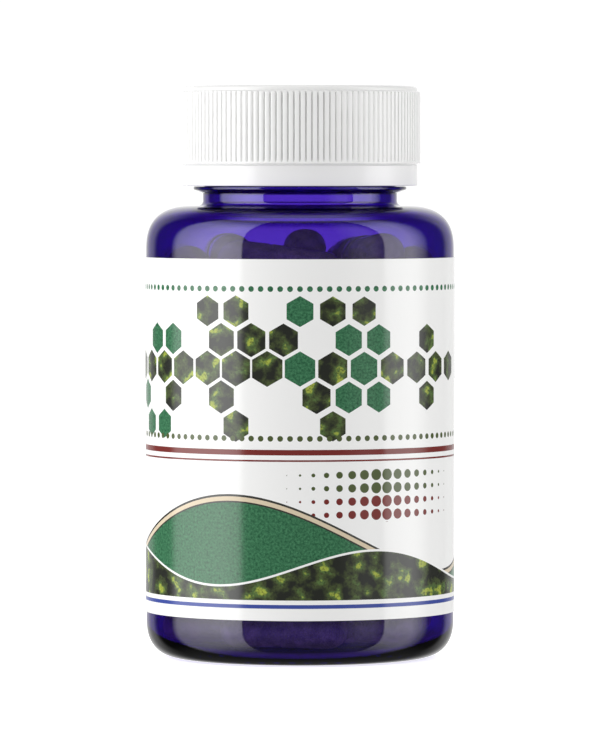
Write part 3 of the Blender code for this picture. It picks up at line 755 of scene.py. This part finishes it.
def lightRoom():
    world = bpy.data.worlds.new("softRoom")
    bpy.context.scene.world = world
    world.use_nodes = True
    world.cycles.sampling_method = "NONE"    # the lights are so wide that scattered rays find them
    tree = world.node_tree
    tree.nodes.clear()
    output = addNode(tree, "OutputWorld")
    places = addNode(tree, "TexCoord")
    split = addNode(tree, "SeparateXYZ", None, {0: places.outputs["Generated"]})
    rightwards, away, upwards = split.outputs[0], split.outputs[1], split.outputs[2]

    def withRamps(strength, operation, ramps):
        # a strength with smooth ramps added or multiplied in: along, start, end, value before and after
        for along, start, end, before, after in ramps:
            ramp = addNode(tree, "MapRange", {"interpolation_type": "SMOOTHSTEP"},
                           {0: along, 1: start, 2: end, 3: before, 4: after})
            strength = addNode(tree, "Math", {"operation": operation}, {0: strength, 1: ramp})
        return strength

    # degrees round from the camera's side, positive to the right
    towards = addNode(tree, "Math", {"operation": "MULTIPLY"}, {0: away, 1: -1.0})
    radians = addNode(tree, "Math", {"operation": "ARCTAN2"}, {0: rightwards, 1: towards})
    bearing = addNode(tree, "Math", {"operation": "DEGREES"}, {0: radians})
    leftBearing = addNode(tree, "Math", {"operation": "MULTIPLY"}, {0: bearing, 1: -1.0})
    around = addNode(tree, "Math", {"operation": "ABSOLUTE"}, {0: bearing})
    # degrees above level, and above a level that leans: the ceiling's middle lies behind the bottle
    m = studio["mirrored"]
    lean = math.radians(m["ceilingLean"])
    raised = addNode(tree, "Math", {"operation": "MULTIPLY"}, {0: upwards, 1: math.cos(lean)})
    leaning = addNode(tree, "Math", {"operation": "MULTIPLY_ADD"},
                      {0: away, 1: math.sin(lean), 2: raised})
    degrees = []
    for level in (upwards, leaning):
        radians = addNode(tree, "Math", {"operation": "ARCSINE"}, {0: level})
        degrees.append(addNode(tree, "Math", {"operation": "DEGREES"}, {0: radians}))
    rise, overhead = degrees

    # mirrored: strength as a line through the listed points, then faded up and down
    mirrored = m["left"][0][1] + m["right"][0][1]
    for points in (m["left"], m["right"]):
        for (start, before), (end, after) in zip(points, points[1:]):
            step = addNode(tree, "MapRange", None,
                           {0: bearing, 1: start, 2: end, 3: 0.0, 4: after - before})
            mirrored = addNode(tree, "Math", {"operation": "ADD"}, {0: mirrored, 1: step})
    fades = [(rise, full, faint, 1.0, least) for full, faint, least in m["fades"]]
    mirrored = withRamps(mirrored, "MULTIPLY", fades)
    (start, middle, end), (faint, half, full) = m["behind"], m["behindPower"]
    behind = withRamps(0.0, "ADD", ((around, start, middle, faint, half),
                                    (around, middle, end, 0.0, full - half)))
    fades = [(rise, full, faint, 1.0, least) for full, faint, least in m["behindFades"]]
    behind = withRamps(behind, "MULTIPLY", fades)
    mirrored = addNode(tree, "Math", {"operation": "ADD"}, {0: mirrored, 1: behind})
    fades = [(rise, full, faint, 1.0, least) for full, faint, least in m["ends"]]
    upright = withRamps(1.0, "MULTIPLY", fades)
    mirrored = addNode(tree, "Math", {"operation": "MULTIPLY"}, {0: mirrored, 1: upright})
    mirrored = withRamps(mirrored, "ADD", [
        (height, start, end, 0.0, power)
        for height, (start, end, power) in ((overhead, m["ceiling"]), (rise, m["ground"]))])

    # lighting: even panels over a dim room
    lighting, *powers, abovePower = studio["lighting"]
    edge = studio["panelEdge"]
    for along, (start, end), power in zip((leftBearing, bearing, around), studio["panels"], powers):
        panel = withRamps(upright, "MULTIPLY", ((along, start - edge, start + edge, 0.0, 1.0),
                                                (along, end + edge, end - edge, 0.0, 1.0)))
        lighting = addNode(tree, "Math", {"operation": "MULTIPLY_ADD"},
                           {0: panel, 1: power, 2: lighting})
    full, faint, least = studio["lightingFade"]
    lighting = withRamps(lighting, "MULTIPLY", [(rise, full, faint, 1.0, least)])
    lighting = withRamps(lighting, "ADD", [(rise, *studio["above"], 0.0, abovePower)])

    # the room shows plain white, and glass passes that white on
    ray = addNode(tree, "LightPath")
    onCamera, plain = ray.outputs["Is Camera Ray"], studio["plain"]
    deepest, level, least = studio["under"]
    through = withRamps(plain, "MULTIPLY", [(rise, deepest, level, least, 1.0)])
    shown = addNode(tree, "Mix", None, {0: onCamera, 2: through, 3: plain})
    scattered = addNode(tree, "Mix", None, {
        0: ray.outputs["Is Diffuse Ray"], 2: mirrored, 3: lighting})
    straight = addNode(tree, "Math", {"operation": "MAXIMUM"}, {
        0: onCamera, 1: ray.outputs["Is Transmission Ray"]})
    strength = addNode(tree, "Mix", None, {0: straight, 2: scattered, 3: shown})
    light = addNode(tree, "Background", None, {"Color": linear("#ffffff"), "Strength": strength})
    tree.links.new(light.outputs[0], output.inputs["Surface"])


def layFloor():
    # matt paper with a glow of its own, so that it stays white right up to the bottle's foot
    material, tree, output = blankMaterial("whitePaper")
    paper = addNode(tree, "BsdfPrincipled", None, {
        "Base Color": linear("#fafafa"), "Roughness": 0.9, "Emission Color": linear("#ffffff"),
        "Emission Strength": studio["floorGlow"]})
    tree.links.new(paper.outputs[0], output.inputs["Surface"])
    half = studio["floorSize"] / 2
    corners = [(-half, -half, 0), (half, -half, 0), (half, half, 0), (-half, half, 0)]
    mesh = bpy.data.meshes.new("floor")
    mesh.from_pydata(corners, [], [(0, 1, 2, 3)])
    mesh.materials.append(material)
    floor = bpy.data.objects.new("floor", mesh)
    bpy.context.scene.collection.objects.link(floor)
    floor.location.z = -studio["floorGap"]
    # it neither lights the bottle nor shows in it: the room does both
    floor.visible_diffuse = False
    floor.visible_glossy = False
    floor.visible_transmission = False


def placeCamera():
    camera = bpy.data.objects.new("camera", bpy.data.cameras.new("camera"))
    bpy.context.scene.collection.objects.link(camera)
    tilt = math.radians(studio["cameraTilt"])
    camera.location = (0, -studio["cameraDistance"] * math.cos(tilt),
                       studio["aim"] + studio["cameraDistance"] * math.sin(tilt))
    camera.rotation_euler = (math.pi / 2 - tilt, 0, 0)
    camera.data.lens = studio["lens"]
    camera.data.sensor_width = 36
    camera.data.clip_start = 0.05
    bpy.context.scene.camera = camera


lightRoom()
layFloor()
placeCamera()
bpy.context.scene.view_settings.view_transform = "Standard"
print("stage 6: studio lit")
